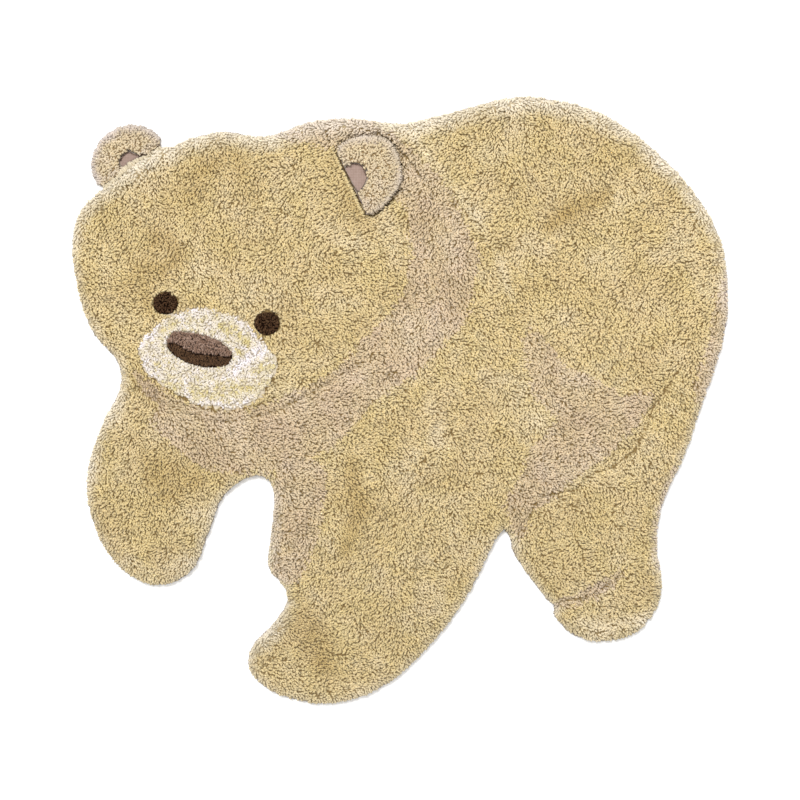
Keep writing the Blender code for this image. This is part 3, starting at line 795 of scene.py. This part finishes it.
places = staggered(grown(rug_rim, -FIELD_INSET), TUFT_PITCH, rng)
places = places[~inside(strayed(places, FACE_BORDER_STRAYS, rng), muzzle_ring)]
for ring in (*eye_rings, grown(foot_ring("ear_right"), BARE_UNDER_EAR)):
    places = places[~inside(places, ring)]
rim_gap, from_rim = to_border(places, rug_rim)
angle, sunk, bleach, dark = lie_of_pile(places, rim_gap, -from_rim, rng)
reach = np.minimum(1.0, (rim_gap + REACH_PAST_RIM) / TUFT_REACH) * rng.uniform(0.8, 1.25, len(places))
held = np.minimum(reach, (rim_gap + LEAST_PAST_RIM) / TUFT_REACH)
reach = np.where(rim_gap < HELD_IN_BAND, held, reach)
rise = rng.uniform(0.92, 1.08, len(places))
roots = rug_top(places) - TUFT_RISE * rise - sunk + rng.normal(0.0, 0.0006, len(places)) + PILE_LIFT
tone = rng.uniform(0.0, 1.0, len(places)) - dark
width = rng.uniform(0.85, 1.15, len(places))
curl = rng.normal(0.0, 0.0016, len(places))

blurred = strayed(places, SHADE_BORDER_STRAYS, rng)
shaded = np.zeros(len(places), bool)
for _, rows in SHADE_STROKES:
    gap, _, _, half_width = nearest_on(blurred, *line_and_widths(rows))
    shaded |= gap < half_width


def plant_field(name, chosen, finish):
    """Plants the chosen places of the rug's pile as one piece."""
    return plant(
        name, FIELD_TUFT, places[chosen], roots[chosen], angle[chosen], finish, tone[chosen],
        bleach[chosen], length=reach[chosen], width=width[chosen], rise=rise[chosen], curl=curl[chosen])


left = ~shaded
for name, corners in HONEY_FIELDS:
    chosen = left & inside(places, mm(corners))
    left &= ~chosen
    plant_field(f"pile_{name}", chosen, honey_yarn)

# The shaded pile: a duller beige yarn, tufted and sheared as the rest, which draws the far leg, the neck,
# the chest and the belly. It is cotton yarn too: matt, a little pinker than the honey.
shade_yarn = cotton_pile(
    "beige_cotton_pile", "#957a57", "#e3cda4", "#e8d7ba", "#ecdecc", "#b89d77", "#e5cdb6")
plant_field("pile_shade", shaded, shade_yarn)

# The muzzle: a finer, whiter cotton, tufted closer and left curly, with white patches and straw-coloured
# tufts among the cream ones.
MUZZLE_PITCH = 0.0040
MUZZLE_STROKES = (
    ("white, beside the left eye", 0.7, ((-514, 112, 10), (-490, 142, 11), (-472, 154, 9))),
    ("white, top", 0.6, ((-444, 170, 8), (-400, 182, 10), (-350, 176, 8))),
    ("white, below the right eye", 0.6, ((-330, 170, 8), (-304, 152, 9), (-290, 130, 7))),
    ("white, right of the nose", 0.9, ((-334, 56, 9), (-300, 84, 12), (-258, 112, 10))),
    ("white, left side", 0.5, ((-512, 80, 7), (-504, 56, 9), (-486, 42, 7))),
    ("white, foot", 0.5, ((-404, -6, 6), (-340, -14, 9), (-296, -4, 6))),
    ("white, below the nose", 0.6, ((-432, 6, 6), (-424, 42, 6))),
    ("straw, left of the nose", -1.0, ((-478, 142, 8), (-458, 152, 9))),
    ("straw, top left", -0.8, ((-424, 174, 4), (-416, 160, 5))),
    ("straw, top", -0.8, ((-374, 172, 4), (-354, 170, 4))),
    ("straw, above the nose", -0.9, ((-362, 148, 7), (-334, 138, 8))),
    ("straw, right", -1.0, ((-322, 134, 8), (-310, 116, 9))),
    ("straw, right of the nose", -0.8, ((-326, 102, 4), (-320, 94, 4))),
    ("straw, far right", -0.9, ((-288, 60, 6), (-248, 68, 7))),
    ("straw, left", -0.7, ((-488, 72, 4), (-480, 66, 4))),
    ("beige, foot", -0.5, ((-460, 34, 10), (-420, 16, 14), (-360, 14, 18), (-300, 22, 16), (-262, 42, 10))),
)
# Undyed cotton yarn, left curly: matt and nearly white, with straw-coloured tufts
muzzle_yarn = cotton_pile(
    "cream_cotton_pile", "#dacdb6", "#e3d9c8", "#e9e1d5", "#e6e0e2", "#d8c992", "#e3d9c4", 0.12, 0.90)
FACE_EDGE = 0.005


def face_field(name, ring, holes, pitch, size, lift, finish, seed, mottling, strokes=(),
               lean=(0.0, 0.0), tuck=2.0, strays=0.0):
    """Plants a field of the face: small tufts in a ring, less its holes, mottled and stroked in its tones.

    They lean one way, are tucked in along the ring or out if that is below 0, and lean away from the holes.
    """
    dice = np.random.default_rng(seed)
    spots = staggered(grown(ring, strays), pitch, dice)
    if strays:
        spots = spots[inside(strayed(spots, strays, dice), ring)]
    way = np.full((len(spots), 2), lean)
    kept = np.ones(len(spots), bool)
    for edge, strength in ((ring, tuck), *((hole, 2.0) for hole in holes)):
        gap, away = to_border(spots, edge)
        way += away * (strength * soft(gap, FACE_EDGE))[:, None]
        if edge is not ring:
            kept &= ~inside(spots, edge)
    spots, way = spots[kept], way[kept]
    count = len(spots)
    way += 0.8 * wandering(spots, 0.02, 61.0, 67.0)
    turn = angle_of(way) + dice.normal(0.0, 0.5, count)
    height = dice.uniform(0.94, 1.06, count)
    base = rug_top(spots) - TUFT_RISE * height + lift
    patchy = mottling * cloudy(spots, 0.010, 71.0 + seed) + dice.normal(0.0, 0.25, count)
    patchy += stroked(spots, strokes)
    plant(
        name, FIELD_TUFT, spots, base, turn, finish, dice.uniform(0.0, 1.0, count), patchy,
        length=dice.uniform(0.8, 1.1, count) * size, width=dice.uniform(0.9, 1.1, count) * size,
        rise=height, curl=dice.normal(0.0, 0.0014, count))


face_field("muzzle_pile", muzzle_ring, (nose_ring, *eye_rings), MUZZLE_PITCH, 0.95, PILE_LIFT, muzzle_yarn,
           5, 0.8, MUZZLE_STROKES, tuck=0.0, strays=FACE_BORDER_STRAYS)

# The nose: two fields of short brown yarn, the upper one greyer where it catches the light. The eyes are
# round fields of the darkest yarn. All are dyed cotton, cut short: matt, with nearly black painted shade
# between the tufts.
nose_top_yarn = cotton_pile(
    "mauve_brown_cotton_pile", "#5a402f", "#8f7362", "#ae937f", "#b89e8e", "#6b503c", "#836657", 0.05, 0.48)
nose_low_yarn = cotton_pile(
    "dark_brown_cotton_pile", "#2c190b", "#5c432e", "#735a42", "#74583f", "#3a2615", "#523a27", 0.02, 0.5)
eye_yarn = cotton_pile(
    "blackish_brown_cotton_pile", "#221106", "#4e3522", "#664e38", "#675039", "#2a180c", "#432c1a", 0.0)
NOSE_FOLD = ((-480, 114), (-464, 113), (-451, 113), (-441, 109), (-431, 101), (-419, 97), (-407, 92),
             (-391, 90), (-371, 89), (-352, 86), (-336, 87), (-320, 88))
ABOVE_NOSE = ((-310, 170), (-500, 170))
BELOW_NOSE = ((-300, 40), (-500, 40))
NOSE_PITCH = 0.0034
EYE_PITCH = 0.0040
for half, beyond, size, lift, yarn, seed, mottling, lean in (
        ("top", BELOW_NOSE, 0.85, 0.0018, nose_top_yarn, 6, 0.5, (-0.2, 0.5)),
        ("low", ABOVE_NOSE, 0.82, 0.0010, nose_low_yarn, 7, 0.4, (0.1, -0.5))):
    face_field(f"nose_{half}_pile", nose_ring, (mm(NOSE_FOLD + beyond),), NOSE_PITCH, size, lift, yarn,
               seed, mottling, lean=lean, tuck=0.6)
for side, ring, seed in zip(("left", "right"), eye_rings, (8, 9)):
    face_field(f"eye_{side}_pile", ring, (), EYE_PITCH, 0.82, 0.0016, eye_yarn, seed, 0.5,
               tuck=1.0)

# The imported foot of the pile: the thick of cotton yarn between the tufts' ends, pressed together where they
# leave the cloth. It is a copy of the rug's solid, welded and drawn in on all sides, and it is only seen as
# the dark between the tufts: painted shade in the root colour of each field's yarn, paler towards the rim.
FOOT_OF_PILE_SINKS = 0.0029
FOOT_SHADE = 0.35


def packed_foot(name, node, rim, slot, *fields):
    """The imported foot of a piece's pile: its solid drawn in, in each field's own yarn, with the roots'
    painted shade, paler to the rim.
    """
    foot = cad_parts[node].copy()
    foot.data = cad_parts[node].data.copy()
    foot.name = name
    foot.parent = None
    foot.hide_render = False
    foot.hide_viewport = False
    for key in list(foot.keys()):
        del foot[key]
    bpy.context.scene.collection.objects.link(foot)
    select_only(foot)
    bpy.ops.object.mode_set(mode="EDIT")
    bpy.ops.mesh.select_all(action="SELECT")
    bpy.ops.mesh.remove_doubles(threshold=WELD)
    bpy.ops.transform.shrink_fatten(value=-FOOT_OF_PILE_SINKS)
    bpy.ops.object.mode_set(mode="OBJECT")
    bpy.ops.object.shade_smooth_by_angle(angle=SMOOTH_BELOW)
    gap, away = to_border(np.array([v.co[:2] for v in foot.data.vertices]), rim)
    faded = np.clip(FADE_SLOPE * (1.0 - gap / RIM_BAND), 0.0, 1.0)
    faded *= np.clip(0.7 - 0.3 * away[:, 1], 0.0, 1.0)
    lock_data(foot.data, -0.8 - 0.4 * faded, FOOT_SHADE + 0.5 * faded, faded)
    foot.data.materials.clear()
    centres = np.array([face.center[:2] for face in foot.data.polygons])
    yarn_of_face = np.zeros(len(centres), int)
    for k, (yarn, ring) in enumerate(fields):
        foot.data.materials.append(yarn)
        if ring is not None:
            yarn_of_face[inside(centres, ring)] = k
    foot.data.polygons.foreach_set("material_index", yarn_of_face)
    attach(foot, "root")


packed_foot(
    "pile_foot", "rug", rug_rim, "honey_pile", (honey_yarn, None), (muzzle_yarn, muzzle_ring),
    (nose_low_yarn, nose_ring), (eye_yarn, eye_rings[0]), (eye_yarn, eye_rings[1]))

# The rim: the outermost tufts lie out over the edge and down to the floor, in rows from the shoulder to the
# cloth, so that the side of the rug is soft too. Beside the tail and behind the hock they are lilac.
# Columns of the rows: how far in and how high they root, how far they tip down, and the step in millimetres.
RIM_ROWS = ((0.0158, 0.0065, 0.0, 4.6), (0.0148, 0.0030, 0.22, 4.6), (0.0140, 0.0004, 0.32, 4.6))
RIM_STRAY = 0.14
LILAC_STRIPS = (
    ("tail side", 1.0, ((660, 250, 10), (660, 180, 14), (648, 110, 14), (630, 60, 16), (600, 10, 12))),
    ("hock", 1.0, ((536, -176, 14), (522, -230, 16), (518, -290, 16), (524, -344, 12))),
)
LILAC_FROM = 0.4
# Lilac-dyed cotton yarn of the same kind: matt, greyer than the honey
lilac_yarn = cotton_pile(
    "lilac_cotton_pile", "#9a8172", "#d3b8ab", "#dac3ba", "#dfccc9", "#b89c8f", "#cfb3a8")
for k, (inset, root, tip_down, step) in enumerate(RIM_ROWS):
    row = evened(rug_rim, step * MM)
    out = outwards(row)
    count = len(row)
    row_places = row - out * (inset + rng.normal(0.0, 0.0008, (count, 1)))
    row_angle = angle_of(out) + rng.normal(0.0, RIM_STRAY, count)
    # Painted shade: rim tufts that face up or to the left, towards the lamp, are a little darker.
    row_tone_and_shade = rng.uniform(-1.7, -1.1, count) - 0.1 * out[:, 1] + 0.15 * out[:, 0]
    row_bleach = 0.7 + 0.3 * out[:, 1] + 0.3 * cloudy(row, 0.03, 51.0)
    row_length = rng.uniform(0.88, 1.0, count)
    row_width = rng.uniform(0.95, 1.2, count)
    row_curl = rng.normal(0.0, 0.0010, count)
    lilac = stroked(row, LILAC_STRIPS) > LILAC_FROM
    for name, chosen, yarn, slot in (
            (f"rim_tufts_{k + 1}", ~lilac, honey_yarn, "honey_pile"),
            (f"rim_lilac_tufts_{k + 1}", lilac, lilac_yarn, "shade_pile")):
        plant(name, RIM_TUFT, row_places[chosen], root, row_angle[chosen], yarn, row_tone_and_shade[chosen],
              row_bleach[chosen], length=row_length[chosen], width=row_width[chosen], pitch=tip_down,
              curl=row_curl[chosen])

# The ears: flaps of the same cloth, hemmed all round and tufted in a paler yarn that fans out from the bare
# patch at the foot. The left one is sewn to the head's edge and lies on the floor, the right one on the
# pile. Brown thread along the top of each patch draws the painted shadow that the pile's edge casts on it.
EAR_PITCH = 0.0042
EAR_INSET = 0.003
EAR_FLOOR = 0.012
EAR_RIM_OVER = 0.0045
EAR_FEET = {"left": ((-594, 426), (-480, 509)), "right": ((-130, 498), (-70, 372))}
PATCH_THREAD = 0.0016
PATCH_THREAD_HEIGHT = 0.0002
PATCH_DOME = 0.0008
PATCH_SHARES = (0.4, 0.72, 1.0)
PATCH_EDGE_PAST = 0.0005
PATCH_POINT_STEP = 0.003
PATCH_STITCH = 0.0028
PATCH_STITCH_INSET = 0.0004
BARE_BESIDE_PATCH = 0.0022
FOOT_BAND = 0.007
BARE_FROM_PATCH_TO_FOOT = 0.009
FAN_STARTS_PAST_SEAM = 0.004
FAN_GROWS_OVER = 0.010
RIM_TUFTS_PAST_SEAM = 0.010
LEAST_EAR_TOP = 0.0065
STITCH_SINKS = 0.0014
STITCH = tuft_shape("overcast_stitch", 4, (
    (-0.0040, 0.0026, 0.0005, 90), (-0.0012, 0.0032, 0.0006, 95), (0.0006, 0.0024, 0.0006, 140),
    (0.0008, 0.0012, 0.0005, 180), (0.0004, 0.0004, 0.0, 180)))
# Corners of the bare patches, clockwise
LEFT_PATCH = ((-560.4, 485), (-545, 498.8), (-532.4, 492.4), (-519.2, 489.2), (-526, 485.6), (-536, 481.6),
              (-546.2, 472.4), (-554.2, 466.6), (-561, 473))
RIGHT_PATCH = ((-109.2, 462), (-105.4, 468.4), (-95.2, 472.8), (-83.6, 471), (-74.8, 468.4), (-71, 458.2),
               (-66.4, 449.2), (-69.6, 437.8), (-74.8, 427.6), (-81.2, 418.6), (-84.4, 418.6),
               (-92.6, 431.4), (-100.2, 445.4))
# Pale cotton yarn, cut and washed: matt, and creamier than the honey
ear_yarn = cotton_pile(
    "pale_cotton_pile", "#ae946c", "#dfcca6", "#e6d7bb", "#ecdfd8", "#cab48a", "#e2cfb4", 0.12, 0.70)
# Mauve-dyed cotton cambric, closely woven: flat and matt beside the pile
patch_cotton = plain_weave("mauve_cotton_cambric", "#7f6a5f", "#978278", PATCH_THREAD, PATCH_THREAD_HEIGHT)
# Brown sewing cotton, twisted: dark and matt; its stitches draw painted shadow along the ears' patches and
# seams
seam_shadow_thread = cotton_pile(
    "brown_thread_painted_shadow", "#3a2616", "#5d4430", "#6b523c", "#75604c", "#4a3322", "#5a4230", 0.0)


def ear(side, patch, fade, seed):
    """One ear: its hemmed cloth, its tufts, which fade to the rim, their packed foot and its bare patch."""
    node = f"ear_{side}"
    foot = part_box(node)[0].z
    rim = evened(grown(foot_ring(node), FOOT_INSET), RING_STEP)
    hemmed_cloth(f"{node}_cloth", rim, foot, node)
    bare = rounded(mm(patch)[::-1], 1)
    sewn = mm(EAR_FEET[side])
    dice = np.random.default_rng(seed)
    spots = staggered(grown(rim, -EAR_INSET), EAR_PITCH, dice)
    to_patch = to_border(spots, bare)[0]
    to_foot = nearest_on(spots, sewn)[0]
    between = (to_foot < FOOT_BAND) & (to_patch < BARE_FROM_PATCH_TO_FOOT)
    spots = spots[~(inside(spots, bare) | (to_patch < BARE_BESIDE_PATCH) | between)]
    gap, away = to_border(spots, rim)
    fan = np.clip(1.0 - gap / RIM_BAND, 0.0, 1.0)
    past_seam = nearest_on(spots, sewn)[0] - FAN_STARTS_PAST_SEAM
    fan_free = fan * np.clip(past_seam / FAN_GROWS_OVER, 0.0, 1.0)
    from_patch = spots - bare.mean(axis=0)
    from_patch /= np.linalg.norm(from_patch, axis=1)[:, None]
    way = 0.5 * from_patch - away * (1.6 * fan_free)[:, None] + 1.2 * wandering(spots, 0.014, 81.0, 83.0)
    count = len(spots)
    turn = angle_of(way) + dice.normal(0.0, 0.8, count)
    top = top_of(node)(spots)
    top = np.where(np.isnan(top) | (top < foot + LEAST_EAR_TOP), foot + EAR_FLOOR, top)
    grow = dice.uniform(0.92, 1.06, count)
    reach = np.minimum(dice.uniform(0.75, 1.1, count), (gap + LEAST_PAST_RIM) / TUFT_REACH)
    base = np.maximum(top - TUFT_RISE * grow + PILE_LIFT, foot + CLOTH_ON_FLOOR)
    plant(f"{node}_pile", FIELD_TUFT, spots, base, turn, ear_yarn,
          dice.uniform(0.0, 1.0, count) - 1.5 * fade * fan_free,
          0.4 * cloudy(spots, 0.03, 85.0) + 0.9 * fade * fan_free, length=reach,
          width=dice.uniform(0.8, 1.05, count), rise=np.minimum(grow, (top - foot) / TUFT_RISE),
          curl=dice.normal(0.0, 0.0014, count))
    for k, (inset, root, tip_down, step) in enumerate(RIM_ROWS[:2]):
        row = evened(rim, step * MM)
        free = nearest_on(row, sewn)[0] > RIM_TUFTS_PAST_SEAM
        out = outwards(row)[free]
        row = row[free] + out * EAR_RIM_OVER
        count = len(row)
        plant(f"{node}_rim_tufts_{k + 1}", RIM_TUFT, row - out * inset, foot + root - 0.001,
              angle_of(out) + dice.normal(0.0, RIM_STRAY, count), ear_yarn,
              dice.uniform(-0.35, 0.35, count) - 1.55 * fade, 0.8 * fade + 0.3 * cloudy(row, 0.03, 87.0),
              length=dice.uniform(0.88, 1.0, count), width=dice.uniform(0.9, 1.15, count), pitch=tip_down,
              curl=dice.normal(0.0, 0.0010, count))
    packed_foot(f"{node}_pile_foot", node, rim, "ear_pile", (ear_yarn, None))
    patch_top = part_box(f"inner_ear_{side}")[1].z
    border = evened(grown(bare, PATCH_EDGE_PAST), PATCH_POINT_STEP)
    rings = [
        at_height(border.mean(axis=0) + (border - border.mean(axis=0)) * share,
                  patch_top + PATCH_DOME * (1 - share ** 2))
        for share in PATCH_SHARES]
    laid_cloth(f"inner_ear_{side}_cloth", rings, patch_cotton,
               f"inner_ear_{side}")
    # Painted shadow: brown stitches only along the patch's upper edge, where the pile shades it.
    seam = evened(grown(bare, -PATCH_STITCH_INSET), PATCH_STITCH)
    seam_out = outwards(seam)
    upper = seam_out[:, 1] > 0.1
    plant(f"inner_ear_{side}_stitches", STITCH, seam[upper], patch_top - STITCH_SINKS,
          angle_of(seam_out[upper]) + 0.5, seam_shadow_thread, dice.uniform(0.0, 1.0, upper.sum()),
          0.0, length=0.7)


ear("left", LEFT_PATCH, 1.0, 21)
ear("right", RIGHT_PATCH, 0.5, 22)

# The ears' feet: the head's pile beside each seam lies over it, so that the flap's foot is hidden, and brown
# thread along the seam, where the pile parts, is the seam's painted shadow.
SEAM_TUFT_STEP = 0.0038
SEAM_STITCH_STEP = 0.0030
# Columns: ear, how pale and how dark its tufts are, its rows (how far behind the seam and how high they
# root), how far past the seam they reach along it (share of the way, mm), how high the thread's roots are,
# and the points that the thread passes.
SEAMS = (
    ("left", 0.7, 1.5, ((0.0085, 0.0085), (0.0050, 0.0078), (0.0020, 0.0070)),
     ((0.0, 2.0), (0.25, 2.0), (0.36, 10.0), (0.5, 11.0), (0.64, 7.5), (0.76, 1.0), (1.0, 0.0)), 0.0118,
     ((-519, 491), (-508, 490), (-500, 493), (-492, 499), (-487, 507), (-480, 511))),
    ("right", 0.0, 0.4, ((0.0100, 0.0120), (0.0085, 0.0112)), ((0.0, 0.0), (1.0, 0.0)), 0.0165,
     ((-129, 494), (-119, 479), (-113, 462), (-102, 446), (-98, 436), (-86, 418), (-82, 402), (-74, 390),
      (-69, 375))),
)


def along_line(line, step):
    """Points an even step apart along an open line, and the line's angle at each."""
    points = at_ways(line, np.arange(step / 2, way_along(line)[-1], step))
    return points, angle_of(nearest_on(points, line)[2])


for side, paleness, darkness, rows, reaches, thread_root, passed in SEAMS:
    sewn = mm(EAR_FEET[side])
    run = sewn[1] - sewn[0]
    over = np.array([-run[1], run[0]]) / np.linalg.norm(run)
    shares, past = np.array(reaches).T
    row, _ = along_line(sewn, SEAM_TUFT_STEP)
    share = (np.arange(len(row)) + 0.5) / len(row)
    seam_places, seam_roots, seam_lengths = [], [], []
    for inset, root in rows:
        seam_places.append(row - over * inset + rng.normal(0.0, 0.0006, row.shape))
        seam_roots.append(root + rng.normal(0.0, 0.0005, len(row)))
        seam_lengths.append((np.interp(share, shares, past) * MM + inset) / RIM_REACH)
    seam_places = np.concatenate(seam_places)
    count = len(seam_places)
    plant(f"head_tufts_over_{side}_seam", RIM_TUFT, seam_places, np.concatenate(seam_roots),
          math.atan2(over[1], over[0]) + rng.normal(0.0, 0.22, count), honey_yarn,
          rng.uniform(0.0, 1.0, count) - darkness, paleness,
          length=np.concatenate(seam_lengths) * rng.uniform(0.92, 1.05, count),
          width=rng.uniform(0.9, 1.15, count), pitch=0.05, curl=rng.normal(0.0, 0.0012, count))
    # Painted shadow: a line of brown stitches along each ear's seam.
    thread, thread_way = along_line(mm(passed), SEAM_STITCH_STEP)
    plant(f"ear_{side}_seam_shadow_stitches", STITCH, thread, thread_root, thread_way + 0.5, seam_shadow_thread,
          rng.uniform(0.0, 1.0, len(thread)), 0.0)

# The overcast edge: one thick lilac-grey thread whipped over the folded hem all round, a stitch every 5 mm.
STITCH_PITCH = 0.005
STITCH_INSET = 0.0006
STITCH_SLANT = 0.35
# Thick lilac-grey cotton thread, twisted: matt, cooler than the pile
stitch_cotton = cotton_pile(
    "lilac_grey_cotton_thread", "#6f6564", "#9a908e", "#ada3a1", "#b3a9a9", "#807674", "#968b89")
edge = evened(rug_rim, STITCH_PITCH)
plant("overcast_stitches", STITCH, edge - outwards(edge) * STITCH_INSET, 0.0,
      angle_of(outwards(edge)) + STITCH_SLANT, stitch_cotton,
      rng.uniform(0.0, 1.0, len(edge)), 0.0)
